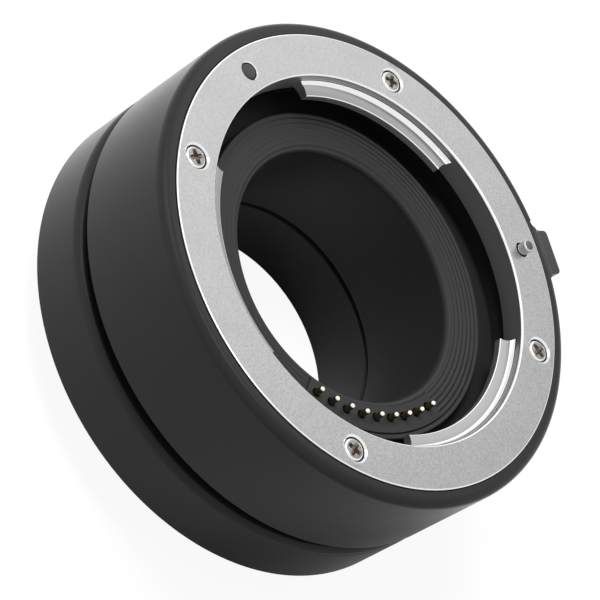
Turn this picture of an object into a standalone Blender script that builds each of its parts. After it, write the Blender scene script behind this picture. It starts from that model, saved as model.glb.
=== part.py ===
# Macro extension tube set: a 16 mm and a 10 mm tube, bayoneted together.
# Each tube has a sprung-contact female mount in front and a male bayonet behind.
# Metres, +Z up along the optical axis, towards the lens. The rear bayonet's end is at z = 0.

import bpy
import bmesh
from math import cos, pi, radians, sin
from mathutils import Vector

MM = 0.001

# Lengths of the two tubes, from mount face to mount face
FRONT_LENGTH = 16.0 * MM
REAR_LENGTH = 10.0 * MM
SEAT_GAP = 0.3 * MM          # left between faces that meet
HOLE_GAP = 0.15 * MM         # left round a small pin or shank

# Barrel
BARREL_R = 31.0 * MM
RIM_DROP = 0.2 * MM          # how far the mount ring stands proud of the rim
RIM_WIDTH = 1.75 * MM
RIM_ROUND = 1.2 * MM
TAIL_STEP = 1.4 * MM         # the barrel stops this far before the next mount face
TAIL_CHAMFER = 0.15 * MM
TAIL_POCKET = 0.9 * MM       # depth of the recess for the bayonet's flange
WEB = 1.4 * MM               # thinnest wall across the inside
HOLLOW_WALL = 2.0 * MM

# Female mount ring
RIM_FIT = 0.2 * MM
RING_R = BARREL_R - RIM_WIDTH - RIM_FIT
RING_WIDTH = 5.49 * MM       # from the ring's edge to the throat's wall
RING_PLATE = 2.0 * MM
RING_CHAMFER = 0.15 * MM
THROAT_R = RING_R - RING_WIDTH
THROAT_CHAMFER = 0.25 * MM
THROAT_DEPTH = 3.3 * MM
SKIRT_WALL = 0.64 * MM
TAB_REACH = 1.96 * MM
TAB_R = THROAT_R - TAB_REACH
TAB_TOP = 1.68 * MM          # below the ring's face
TAB_BOTTOM = 2.75 * MM
TAB_FILLET = 0.45 * MM
TAB_CHAMFER = 0.15 * MM
TAB_FLARE = 1.6              # degrees that a tab's end widens at the wall
TABS = ((63.1, 121.4), (176.3, 237.9), (294.0, 360.2))

# Ring screws, index dot and lock pin
SCREW_CIRCLE_R = RING_R - 0.46 * RING_WIDTH
SCREW_ANGLES = (0, 90, 180, 270)
SCREW_HEAD_R = 1.45 * MM
SCREW_HEAD_H = 0.65 * MM
SCREW_SINK = 0.1 * MM
SCREW_SHANK_R = 0.7 * MM
SCREW_LENGTH = 5.5 * MM
COUNTERBORE_R = 1.75 * MM
CROSS_ARM = 0.85 * MM
CROSS_WIDTH = 0.36 * MM
CROSS_DEPTH = 0.45 * MM
CROSS_TURNS = (55, 90, 125, 160)
DOT_CIRCLE_R = RING_R - 0.52 * RING_WIDTH
DOT_ANGLE = 143.2
DOT_R = 1.12 * MM
DOT_SINK = 0.12 * MM
DOT_DEPTH = 0.8 * MM
LOCK_CIRCLE_R = RING_R - 0.51 * RING_WIDTH
LOCK_ANGLE = 30.0
LOCK_PIN_R = 0.82 * MM
LOCK_PIN_REACH = 1.25 * MM
LOCK_STEM_R = 0.5 * MM
LOCK_TRAVEL = LOCK_PIN_REACH + 0.1 * MM

# Release lever
LEVER_REACH = 2.6 * MM       # how far it stands out of the barrel
LEVER_REACH_R = BARREL_R + LEVER_REACH
LEVER_TOP = 1.2 * MM
LEVER_HEIGHT = 4.4 * MM
LEVER_TIP_HALF = 2.95 * MM
LEVER_ROOT_HALF = 3.9 * MM
LEVER_CORNER = 0.5 * MM
LEVER_BEVEL = 0.25 * MM
SLIDER_THICK = 2.0 * MM
SLIDER_HALF = 3.0 * MM
SLIDER_INNER = 1.15 * MM     # from the lock pin's axis towards the throat
RIM_BRIDGE = 0.6 * MM        # rim left above the lever's window
SPRING_R = 1.1 * MM
SPRING_WIRE_R = 0.13 * MM
SPRING_TURNS = 2.5
SPRING_ROOM = 2.6 * MM

# Light baffle
BAFFLE_CLEAR = 0.7 * MM      # between the baffle and the tabs, seen from the front
BAFFLE_R = TAB_R - BAFFLE_CLEAR
BAFFLE_WIDTH = 4.6 * MM
BORE_R = BAFFLE_R - BAFFLE_WIDTH
LIP_CHAMFER = 0.15 * MM
LIP_R = BORE_R + LIP_CHAMFER
LIP_WIDTH = 0.6 * MM         # plain band inside the first ridge
LINER_WALL = 1.0 * MM
BAFFLE_TOP_OUTER = 4.9 * MM
BAFFLE_TOP_INNER = 5.2 * MM
BAFFLE_THICK = 1.3 * MM
RIDGES = 7
RIDGE_DEPTH = 0.22 * MM
RIDGE_START_R = LIP_R + LIP_WIDTH
SHELF_WIDTH = 0.9 * MM       # of the barrel's shelf under the baffle's edge
SHELF_R = BAFFLE_R - SHELF_WIDTH
LINER_END_SET = 0.1 * MM

# Contacts
CONTACTS = 9
CONTACT_CIRCLE_R = BORE_R + 0.445 * BAFFLE_WIDTH
CONTACT_MIDDLE = 290.0
CONTACT_PITCH = 7.1
CONTACT_R = 0.38 * MM
CONTACT_TIP = 3.5 * MM
CONTACT_LENGTH = 3.0 * MM
CONTACT_TRAVEL = 1.0 * MM
MATED_PRESS = 0.4 * MM       # how far the front tube's pads press the rear pins in
BLOCK_TOP = 4.7 * MM
BLOCK_PLATE = 0.9 * MM
BLOCK_INNER_R = LIP_R + 0.4 * MM
BLOCK_OUTER_R = BAFFLE_R - 0.6 * MM
BLOCK_MARGIN = 4.0           # degrees past the end contacts
BLOCK_BODY_DEPTH = 3.4 * MM

# Male bayonet
MALE_REACH = 4.3 * MM
MALE_CYLINDER_R = TAB_R - SEAT_GAP
MALE_WALL = 1.4 * MM
MALE_BORE_R = MALE_CYLINDER_R - MALE_WALL
FLANGE_R = RING_R - 0.4 * MM
LUG_R = THROAT_R - SEAT_GAP
LUG_THICK = 0.95 * MM
LUG_CHAMFER = 0.2 * MM
TWIST = 60.0
LUG_MARGIN = 1.9             # degrees free at each end of a lug as it passes between the tabs
MALE_SCREW_CIRCLE_R = (MALE_CYLINDER_R + FLANGE_R) / 2 + 0.25 * MM
MALE_SCREW_ANGLES = (75, 195, 315)
MALE_SCREW_HEAD_R = 1.3 * MM
MALE_SCREW_SINK = 0.15 * MM
MALE_SCREW_LENGTH = 2.6 * MM
PAD_TOP = MALE_REACH - MATED_PRESS   # the pads' plane, behind the flange's face
PAD_R = 0.55 * MM
PAD_RISE = 0.15 * MM
PAD_BLOCK_THICK = 0.45 * MM
PAD_MARGIN = 0.2 * MM        # of the strip past its pads
PAD_BLOCK_INNER_R = CONTACT_CIRCLE_R - PAD_R - PAD_MARGIN
PAD_BLOCK_OUTER_R = CONTACT_CIRCLE_R + PAD_R + PAD_MARGIN
REAR_DISC_R = MALE_BORE_R - 0.4 * MM
REAR_DISC_THICK = 1.0 * MM

# Facets round a full turn
WIDE_FACETS = 40
MIDDLE_FACETS = 32
SMALL_FACETS = 12
TINY_FACETS = 8
TAB_STEP = 360 / WIDE_FACETS

PAINT = (0.035, 0.035, 0.036, 1.0)
BLACK_PLASTIC = (0.02, 0.02, 0.021, 1.0)
DOT_GREY = (0.045, 0.045, 0.047, 1.0)
CHROME_PLATE = (0.62, 0.62, 0.61, 1.0)
STEEL = (0.55, 0.53, 0.5, 1.0)
GOLD = (0.83, 0.62, 0.3, 1.0)


def clear_scene():
    for obj in list(bpy.data.objects):
        bpy.data.objects.remove(obj, do_unlink=True)


def material(name, colour, roughness, metallic):
    mat = bpy.data.materials.new(name)
    mat.use_nodes = True
    shader = mat.node_tree.nodes["Principled BSDF"]
    shader.inputs["Base Color"].default_value = colour
    shader.inputs["Roughness"].default_value = roughness
    shader.inputs["Metallic"].default_value = metallic
    return mat


def polar(radius, degrees, z=0.0):
    return Vector((radius * cos(radians(degrees)), radius * sin(radians(degrees)), z))


def add_object(name, bm, parent, place=(0, 0, 0)):
    bmesh.ops.remove_doubles(bm, verts=bm.verts, dist=1e-7)
    bmesh.ops.recalc_face_normals(bm, faces=bm.faces)
    mesh = bpy.data.meshes.new(name)
    bm.to_mesh(mesh)
    bm.free()
    obj = bpy.data.objects.new(name, mesh)
    bpy.context.scene.collection.objects.link(obj)
    obj.parent = parent
    obj.location = place
    return obj


def finish(obj, mat, angle=35):
    """Shade a piece smooth between its sharp edges and give it its material."""
    obj.data.materials.append(mat)
    obj.data.shade_smooth()
    obj.data.set_sharp_from_angle(angle=radians(angle))
    return obj


def hide_tool(obj):
    obj.hide_render = True
    obj.display_type = "WIRE"
    return obj


def cut(obj, tool):
    change = obj.modifiers.new("cut_" + tool.name, "BOOLEAN")
    change.operation = "DIFFERENCE"
    change.object = hide_tool(tool)


def fuse(obj, tool):
    change = obj.modifiers.new("fuse_" + tool.name, "BOOLEAN")
    change.operation = "UNION"
    change.object = hide_tool(tool)


def ring_faces(bm, profile, segments):
    """Turn a closed profile of (radius, z) points a full turn about Z."""
    verts = [bm.verts.new((r, 0, z)) for r, z in profile]
    edges = [bm.edges.new((verts[i], verts[i - 1])) for i in range(len(verts))]
    bmesh.ops.spin(bm, geom=verts + edges, cent=(0, 0, 0), axis=(0, 0, 1),
                   angle=2 * pi, steps=segments, use_merge=True)


def sector_faces(bm, profile, start, end, steps, flare=0.0):
    """Turn a closed profile from start to end degrees, its ends widening towards the outside."""
    verts = [bm.verts.new((r * cos(radians(start)), r * sin(radians(start)), z)) for r, z in profile]
    face = bm.faces.new(verts)
    turned = bmesh.ops.spin(bm, geom=[face] + list(face.edges) + verts, cent=(0, 0, 0), axis=(0, 0, 1),
                            angle=radians(end - start), steps=steps)
    last = [item for item in turned["geom_last"] if isinstance(item, bmesh.types.BMVert)]
    inner = min(r for r, z in profile)
    depth = max(r for r, z in profile) - inner
    for group, way in ((verts, -1), (last, 1)):
        for vert in group:
            share = (vert.co.xy.length - inner) / depth
            turn = radians(way * flare * share * share)
            x, y = vert.co.x, vert.co.y
            vert.co.x = x * cos(turn) - y * sin(turn)
            vert.co.y = x * sin(turn) + y * cos(turn)


def lathe_faces(bm, outline, segments, centre=(0, 0)):
    """Turn an open outline that starts and ends on its own axis about that axis."""
    verts = [bm.verts.new((centre[0] + r, centre[1], z)) for r, z in outline]
    edges = [bm.edges.new((a, b)) for a, b in zip(verts, verts[1:])]
    bmesh.ops.spin(bm, geom=verts + edges, cent=(centre[0], centre[1], 0), axis=(0, 0, 1),
                   angle=2 * pi, steps=segments, use_merge=True)


def cylinder_outline(radius, top, bottom):
    return ((0, top), (radius, top), (radius, bottom), (0, bottom))


def ring(name, parent, profile, segments):
    bm = bmesh.new()
    ring_faces(bm, profile, segments)
    return add_object(name, bm, parent)


def lathe(name, parent, outline, segments, place=(0, 0, 0)):
    bm = bmesh.new()
    lathe_faces(bm, outline, segments)
    return add_object(name, bm, parent, place)


def sectors(name, parent, profile, spans, degrees_per_step=TAB_STEP, flare=0.0):
    bm = bmesh.new()
    for start, end in spans:
        steps = max(2, round((end - start) / degrees_per_step))
        sector_faces(bm, profile, start, end, steps, flare)
    return add_object(name, bm, parent)


def studs(name, parent, circle_r, angles, outline, segments):
    """Like turned solids, standing on a circle."""
    bm = bmesh.new()
    for degrees in angles:
        place = polar(circle_r, degrees)
        lathe_faces(bm, outline, segments, (place.x, place.y))
    return add_object(name, bm, parent)


def extruded(name, parent, outline, top, bottom, place=(0, 0, 0), turn=0.0):
    bm = bmesh.new()
    base = bm.faces.new([bm.verts.new((x, y, bottom)) for x, y in outline])
    grown = bmesh.ops.extrude_face_region(bm, geom=[base], use_keep_orig=True)
    moved = [item for item in grown["geom"] if isinstance(item, bmesh.types.BMVert)]
    bmesh.ops.translate(bm, verts=moved, vec=(0, 0, top - bottom))
    obj = add_object(name, bm, parent, place)
    obj.rotation_euler.z = radians(turn)
    return obj


def arc_points(centre, radius, start, end, steps):
    """Points on an arc in any plane, both ends included."""
    points = []
    for step in range(steps + 1):
        angle = radians(start + (end - start) * step / steps)
        points.append((centre[0] + radius * cos(angle), centre[1] + radius * sin(angle)))
    return points


def tube_levels(length):
    """Heights shared by the pieces of one tube, measured from its mount ring's face."""
    seat = -(RING_PLATE + SEAT_GAP)
    shelf = -(BAFFLE_TOP_OUTER + BAFFLE_THICK + SEAT_GAP)
    tail = -length + TAIL_STEP
    pocket = tail + TAIL_POCKET
    flange = -length + SEAT_GAP
    slider_top = seat
    slider_bottom = slider_top - SLIDER_THICK
    return {
        "seat": seat,
        "shelf": shelf,
        "tail": tail,
        "pocket": pocket,
        "flange": flange,
        "slider_top": slider_top,
        "slider_bottom": slider_bottom,
        "spring_floor": slider_bottom - SPRING_ROOM,
        "window_bottom": -(LEVER_TOP + LEVER_HEIGHT + LOCK_TRAVEL + SEAT_GAP),
    }


def lug_spans():
    """The lugs lie where the gaps between the tabs are, turned back by the locking twist."""
    spans = []
    for number, tab in enumerate(TABS):
        following = TABS[(number + 1) % len(TABS)][0] + (360 if number + 1 == len(TABS) else 0)
        spans.append((tab[1] + LUG_MARGIN - TWIST, following - LUG_MARGIN - TWIST))
    return spans


def contact_angles():
    first = CONTACT_MIDDLE - CONTACT_PITCH * (CONTACTS - 1) / 2
    return [first + CONTACT_PITCH * index for index in range(CONTACTS)]


def barrel_profile(level):
    seat_r = RING_R + RIM_FIT
    throat_wall_r = THROAT_R + SKIRT_WALL + SEAT_GAP
    pocket_r = FLANGE_R + SEAT_GAP
    rim = arc_points((BARREL_R - RIM_ROUND, -RIM_DROP - RIM_ROUND), RIM_ROUND, 90, 0, 5)
    profile = [(seat_r, level["seat"]), (seat_r, -RIM_DROP)] + rim + [
        (BARREL_R, level["tail"] + TAIL_CHAMFER),
        (BARREL_R - TAIL_CHAMFER, level["tail"]),
        (pocket_r, level["tail"]),
        (pocket_r, level["pocket"]),
        (SHELF_R, level["pocket"]),
    ]
    hollow_bottom = level["pocket"] + WEB
    hollow_top = level["spring_floor"] - WEB
    if hollow_top - hollow_bottom > WEB:
        hollow_r = BARREL_R - HOLLOW_WALL
        profile += [(SHELF_R, hollow_bottom), (hollow_r, hollow_bottom),
                    (hollow_r, hollow_top), (SHELF_R, hollow_top)]
    profile += [(SHELF_R, level["shelf"]), (throat_wall_r, level["shelf"]), (throat_wall_r, level["seat"])]
    return profile


def build_barrel(side, parent, level):
    """Turned barrel with a seat for each mount, a lever window and the slider's pocket."""
    obj = ring(side + "_barrel", parent, barrel_profile(level), WIDE_FACETS)
    hole_r = SCREW_SHANK_R + HOLE_GAP
    holes = cylinder_outline(hole_r, level["seat"] + SEAT_GAP, -SCREW_SINK - SCREW_LENGTH - SEAT_GAP)
    cut(obj, studs(side + "_screw_holes", parent, SCREW_CIRCLE_R, SCREW_ANGLES, holes, TINY_FACETS))
    tail_top = level["flange"] + MALE_SCREW_SINK + MALE_SCREW_LENGTH + SEAT_GAP
    tail_holes = cylinder_outline(hole_r, tail_top, level["pocket"] - SEAT_GAP)
    cut(obj, studs(side + "_tail_holes", parent, MALE_SCREW_CIRCLE_R, MALE_SCREW_ANGLES, tail_holes, TINY_FACETS))
    axis = polar(LOCK_CIRCLE_R, LOCK_ANGLE)
    inner = -SLIDER_INNER - SEAT_GAP
    seat_edge = RING_R + RIM_FIT - LOCK_CIRCLE_R
    half = SLIDER_HALF + SEAT_GAP
    pocket = [(inner, -half), (seat_edge, -half), (seat_edge, half), (inner, half)]
    cut(obj, extruded(side + "_slider_pocket", parent, pocket, level["seat"] + SEAT_GAP,
                      level["spring_floor"], axis, LOCK_ANGLE))
    half = LEVER_ROOT_HALF + SEAT_GAP
    window_in = seat_edge - 2 * SEAT_GAP
    window_out = LEVER_REACH_R - LOCK_CIRCLE_R
    window = [(window_in, -half), (window_out, -half), (window_out, half), (window_in, half)]
    cut(obj, extruded(side + "_lever_window", parent, window, -(RIM_DROP + RIM_BRIDGE),
                      level["window_bottom"], axis, LOCK_ANGLE))
    return finish(obj, material(side + "_barrel_paint", PAINT, 0.42, 0.0))


def build_mount_ring(side, parent, level):
    """Female bayonet ring: a plate with a skirt and three tabs, drilled for its screws."""
    skirt_r = THROAT_R + SKIRT_WALL
    profile = [
        (RING_R - RING_CHAMFER, 0), (RING_R, -RING_CHAMFER), (RING_R, -RING_PLATE),
        (skirt_r, -RING_PLATE), (skirt_r, -THROAT_DEPTH), (THROAT_R, -THROAT_DEPTH),
        (THROAT_R, -THROAT_CHAMFER), (THROAT_R + THROAT_CHAMFER, 0),
    ]
    obj = ring(side + "_mount_ring", parent, profile, WIDE_FACETS)
    root_r = THROAT_R + SKIRT_WALL / 2
    fillet = arc_points((THROAT_R - TAB_FILLET, -TAB_TOP + TAB_FILLET), TAB_FILLET, 270, 360, 3)
    tab = [(TAB_R, -TAB_TOP - TAB_CHAMFER), (TAB_R + TAB_CHAMFER, -TAB_TOP)] + fillet + [
        (root_r, -TAB_TOP + TAB_FILLET), (root_r, -TAB_BOTTOM),
        (TAB_R + TAB_CHAMFER, -TAB_BOTTOM), (TAB_R, -TAB_BOTTOM + TAB_CHAMFER),
    ]
    fuse(obj, sectors(side + "_tabs", parent, tab, TABS, flare=TAB_FLARE))
    floor = -(SCREW_SINK + SCREW_HEAD_H + SEAT_GAP)
    clear = SEAT_GAP
    shank_r = SCREW_SHANK_R + HOLE_GAP
    bore = ((0, clear), (COUNTERBORE_R, clear), (COUNTERBORE_R, floor), (shank_r, floor),
            (shank_r, -RING_PLATE - clear), (0, -RING_PLATE - clear))
    cut(obj, studs(side + "_counterbores", parent, SCREW_CIRCLE_R, SCREW_ANGLES, bore, SMALL_FACETS))
    pin_hole = cylinder_outline(LOCK_PIN_R + 2 * HOLE_GAP, clear, -RING_PLATE - clear)
    cut(obj, studs(side + "_pin_hole", parent, LOCK_CIRCLE_R, (LOCK_ANGLE,), pin_hole, SMALL_FACETS))
    dot_pocket = cylinder_outline(DOT_R + HOLE_GAP, clear, -(DOT_SINK + DOT_DEPTH + SEAT_GAP))
    cut(obj, studs(side + "_dot_pocket", parent, DOT_CIRCLE_R, (DOT_ANGLE,), dot_pocket, SMALL_FACETS))
    return finish(obj, material(side + "_ring_plating", CHROME_PLATE, 0.32, 1.0))


def screw_outline(head_r, head_h, shank_r, length):
    """Shallow domed head over a plain shank; the top of the head is at z = 0."""
    dome = 0.15 * head_h
    edge = 0.35 * head_h
    return ((0, 0), (0.75 * head_r, -dome), (head_r, -edge - dome), (head_r, -head_h),
            (shank_r, -head_h), (shank_r, -length + shank_r / 2), (shank_r / 2, -length), (0, -length))


def cross_recess(name, parent, place, turn):
    """Cross-head driver recess, one body that narrows downwards."""
    half = CROSS_WIDTH / 2
    levels = ((CROSS_ARM, CROSS_DEPTH / 2), (CROSS_ARM / 2, -CROSS_DEPTH))
    bm = bmesh.new()
    rows = []
    for arm, z in levels:
        row = []
        for quarter in (0, 90, 180, 270):
            along = polar(1, quarter + turn)
            across = polar(1, quarter + turn + 90)
            for a, b in ((half, -half), (arm, -half), (arm, half)):
                row.append(bm.verts.new(along * a + across * b + Vector((0, 0, z))))
        rows.append(row)
    top, bottom = rows
    bm.faces.new(top)
    bm.faces.new(bottom[::-1])
    for i in range(len(top)):
        bm.faces.new((top[i - 1], bottom[i - 1], bottom[i], top[i]))
    return add_object(name, bm, parent, place)


def build_ring_screws(side, parent):
    mat = material(side + "_screw_steel", STEEL, 0.3, 1.0)
    outline = screw_outline(SCREW_HEAD_R, SCREW_HEAD_H, SCREW_SHANK_R, SCREW_LENGTH)
    for number, degrees in enumerate(SCREW_ANGLES, 1):
        place = polar(SCREW_CIRCLE_R, degrees, -SCREW_SINK)
        obj = lathe("%s_ring_screw_%d" % (side, number), parent, outline, SMALL_FACETS, place)
        recess = cross_recess("%s_cross_%d" % (side, number), parent, place, CROSS_TURNS[number - 1])
        cut(obj, recess)
        finish(obj, mat)


def build_index_dot(side, parent):
    place = polar(DOT_CIRCLE_R, DOT_ANGLE, -DOT_SINK)
    obj = lathe(side + "_index_dot", parent, cylinder_outline(DOT_R, 0, -DOT_DEPTH), SMALL_FACETS, place)
    return finish(obj, material(side + "_dot_enamel", DOT_GREY, 0.5, 0.0))


def lever_outline():
    """Plan of the finger piece, its root filleted into the barrel's side; x is outwards."""
    root_x = BARREL_R - LOCK_CIRCLE_R
    tip_x = LEVER_REACH_R - LOCK_CIRCLE_R
    seat_x = RING_R + RIM_FIT - LOCK_CIRCLE_R
    fillet = LEVER_ROOT_HALF - LEVER_TIP_HALF
    side = [(seat_x, LEVER_ROOT_HALF), (root_x, LEVER_ROOT_HALF)]
    for step in (1, 2, 3):
        angle = radians(30 * step)
        side.append((root_x + 1.6 * fillet * sin(angle), LEVER_ROOT_HALF - fillet * (1 - cos(angle)) * 0.9))
    side.append((tip_x - LEVER_CORNER, LEVER_TIP_HALF))
    side.append((tip_x - 0.3 * LEVER_CORNER, LEVER_TIP_HALF - 0.3 * LEVER_CORNER))
    side.append((tip_x, LEVER_TIP_HALF - LEVER_CORNER))
    return side + [(x, -y) for x, y in reversed(side)]


def build_lever(side, parent, level):
    """Release lever: a finger piece outside the barrel on a slider under the mount ring."""
    axis = polar(LOCK_CIRCLE_R, LOCK_ANGLE)
    obj = extruded(side + "_release_lever", parent, lever_outline(), -LEVER_TOP,
                   -LEVER_TOP - LEVER_HEIGHT, axis, LOCK_ANGLE)
    bevel = obj.modifiers.new("edges", "BEVEL")
    bevel.width = LEVER_BEVEL
    bevel.segments = 2
    bevel.limit_method = "ANGLE"
    bevel.angle_limit = radians(50)
    seat_edge = RING_R + RIM_FIT - LOCK_CIRCLE_R
    overlap_x = seat_edge + 2 * SEAT_GAP
    inner = -SLIDER_INNER
    body = [(inner, -SLIDER_HALF), (overlap_x, -SLIDER_HALF), (overlap_x, SLIDER_HALF), (inner, SLIDER_HALF)]
    slider = extruded(side + "_slider", parent, body, level["slider_top"], level["slider_bottom"],
                      axis, LOCK_ANGLE)
    fuse(obj, slider)
    hole = cylinder_outline(LOCK_STEM_R + HOLE_GAP, level["slider_top"] + SEAT_GAP,
                            level["slider_bottom"] + SEAT_GAP)
    cut(obj, studs(side + "_stem_hole", parent, LOCK_CIRCLE_R, (LOCK_ANGLE,), hole, TINY_FACETS))
    return finish(obj, material(side + "_lever_black", BLACK_PLASTIC, 0.4, 0.0))


def build_lock_pin(side, parent, level):
    place = polar(LOCK_CIRCLE_R, LOCK_ANGLE)
    shoulder = level["slider_top"] + SEAT_GAP
    stem_end = level["slider_bottom"] + 2 * SEAT_GAP
    edge = 0.15 * LOCK_PIN_R
    outline = ((0, LOCK_PIN_REACH), (LOCK_PIN_R - edge, LOCK_PIN_REACH), (LOCK_PIN_R, LOCK_PIN_REACH - edge),
               (LOCK_PIN_R, shoulder), (LOCK_STEM_R, shoulder), (LOCK_STEM_R, stem_end), (0, stem_end))
    obj = lathe(side + "_lock_pin", parent, outline, SMALL_FACETS, place)
    return finish(obj, material(side + "_pin_steel", STEEL, 0.25, 1.0))


def build_lever_spring(side, parent, level):
    """Compression spring under the slider, wound round the lock pin's axis."""
    place = polar(LOCK_CIRCLE_R, LOCK_ANGLE)
    top = level["slider_bottom"] - SEAT_GAP - SPRING_WIRE_R
    bottom = level["spring_floor"] + SEAT_GAP + SPRING_WIRE_R
    curve = bpy.data.curves.new(side + "_lever_spring", "CURVE")
    curve.dimensions = "3D"
    curve.bevel_depth = SPRING_WIRE_R
    curve.bevel_resolution = 0
    curve.use_fill_caps = True
    spline = curve.splines.new("POLY")
    count = round(SPRING_TURNS * TINY_FACETS) + 1
    spline.points.add(count - 1)
    for index, point in enumerate(spline.points):
        share = index / (count - 1)
        spot = polar(SPRING_R, 360 * SPRING_TURNS * share, bottom + (top - bottom) * share)
        point.co = (spot.x, spot.y, spot.z, 1)
    obj = bpy.data.objects.new(side + "_lever_spring", curve)
    bpy.context.scene.collection.objects.link(obj)
    obj.parent = parent
    obj.location = place
    curve.materials.append(material(side + "_spring_steel", STEEL, 0.35, 1.0))
    return obj


def baffle_profile(level):
    """Front disc with fine ridges, straight liner and rear disc, as one turned moulding."""
    liner_r = BORE_R + LINER_WALL
    disc_bottom = -(BAFFLE_TOP_OUTER + BAFFLE_THICK)
    liner_end = level["flange"] - MALE_REACH + LINER_END_SET
    rear_top = level["flange"] - PAD_TOP + PAD_RISE + PAD_BLOCK_THICK + SEAT_GAP + REAR_DISC_THICK
    profile = [(BORE_R, liner_end), (BORE_R, -BAFFLE_TOP_INNER - SEAT_GAP), (LIP_R, -BAFFLE_TOP_INNER)]
    pitch = (BAFFLE_R - RIDGE_START_R) / RIDGES
    slope = (BAFFLE_TOP_INNER - BAFFLE_TOP_OUTER) / (BAFFLE_R - LIP_R)
    for index in range(RIDGES):
        foot_r = RIDGE_START_R + pitch * index
        crest_r = foot_r + pitch * 0.7
        crest = -BAFFLE_TOP_INNER + slope * (crest_r - LIP_R)
        foot = -BAFFLE_TOP_INNER + slope * (foot_r - LIP_R) - (RIDGE_DEPTH if index else 0)
        profile += [(foot_r, foot), (crest_r, crest)]
    profile += [
        (BAFFLE_R, -BAFFLE_TOP_OUTER - RIDGE_DEPTH), (BAFFLE_R, disc_bottom),
        (liner_r, disc_bottom), (liner_r, rear_top), (REAR_DISC_R, rear_top),
        (REAR_DISC_R, rear_top - REAR_DISC_THICK), (liner_r, rear_top - REAR_DISC_THICK),
        (liner_r, liner_end),
    ]
    return profile


def block_span(margin):
    angles = contact_angles()
    return ((angles[0] - margin, angles[-1] + margin),)


def build_baffle(side, parent, level):
    obj = ring(side + "_light_baffle", parent, baffle_profile(level), MIDDLE_FACETS)
    floor = -(BLOCK_TOP + BLOCK_PLATE + SEAT_GAP)
    bottom = -(BAFFLE_TOP_OUTER + BAFFLE_THICK + SEAT_GAP)
    inner = BLOCK_INNER_R - SEAT_GAP
    liner_r = BORE_R + LINER_WALL + SEAT_GAP / 2
    outer = BAFFLE_R + SEAT_GAP
    notch = [(inner, 0), (outer, 0), (outer, bottom), (liner_r, bottom), (liner_r, floor), (inner, floor)]
    gap = BLOCK_MARGIN + 1.0
    cut(obj, sectors(side + "_block_notch", parent, notch, block_span(gap), 8))
    return finish(obj, material(side + "_baffle_black", BLACK_PLASTIC, 0.55, 0.0))


def build_contact_block(side, parent):
    """Insulating block that guides the sprung contact pins."""
    plate_bottom = -(BLOCK_TOP + BLOCK_PLATE)
    bottom = -(BLOCK_TOP + BLOCK_BODY_DEPTH)
    body_inner = BORE_R + LINER_WALL + SEAT_GAP
    body_outer = SHELF_R - SEAT_GAP
    profile = [
        (BLOCK_INNER_R, -BLOCK_TOP), (BLOCK_OUTER_R, -BLOCK_TOP), (BLOCK_OUTER_R, plate_bottom),
        (body_outer, plate_bottom), (body_outer, bottom), (body_inner, bottom),
        (body_inner, plate_bottom), (BLOCK_INNER_R, plate_bottom),
    ]
    obj = sectors(side + "_contact_block", parent, profile, block_span(BLOCK_MARGIN), 8)
    depth = CONTACT_TIP + CONTACT_LENGTH + CONTACT_TRAVEL + HOLE_GAP
    holes = cylinder_outline(CONTACT_R + HOLE_GAP, -BLOCK_TOP + SEAT_GAP, -depth)
    cut(obj, studs(side + "_pin_holes", parent, CONTACT_CIRCLE_R, contact_angles(), holes, TINY_FACETS))
    return finish(obj, material(side + "_block_black", BLACK_PLASTIC, 0.45, 0.0))


def build_contact_pins(side, parent, pressed):
    """Gold-plated sprung pins with domed tips, pushed in by the pressed distance."""
    mat = material(side + "_contact_gold", GOLD, 0.22, 1.0)
    dome = arc_points((0, -CONTACT_R), CONTACT_R, 90, 0, 3)
    outline = dome + [(CONTACT_R, -CONTACT_LENGTH), (0, -CONTACT_LENGTH)]
    outline[0] = (0, 0)
    for number, degrees in enumerate(contact_angles(), 1):
        place = polar(CONTACT_CIRCLE_R, degrees, -CONTACT_TIP - pressed)
        obj = lathe("%s_contact_pin_%d" % (side, number), parent, outline, TINY_FACETS, place)
        finish(obj, mat)


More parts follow.
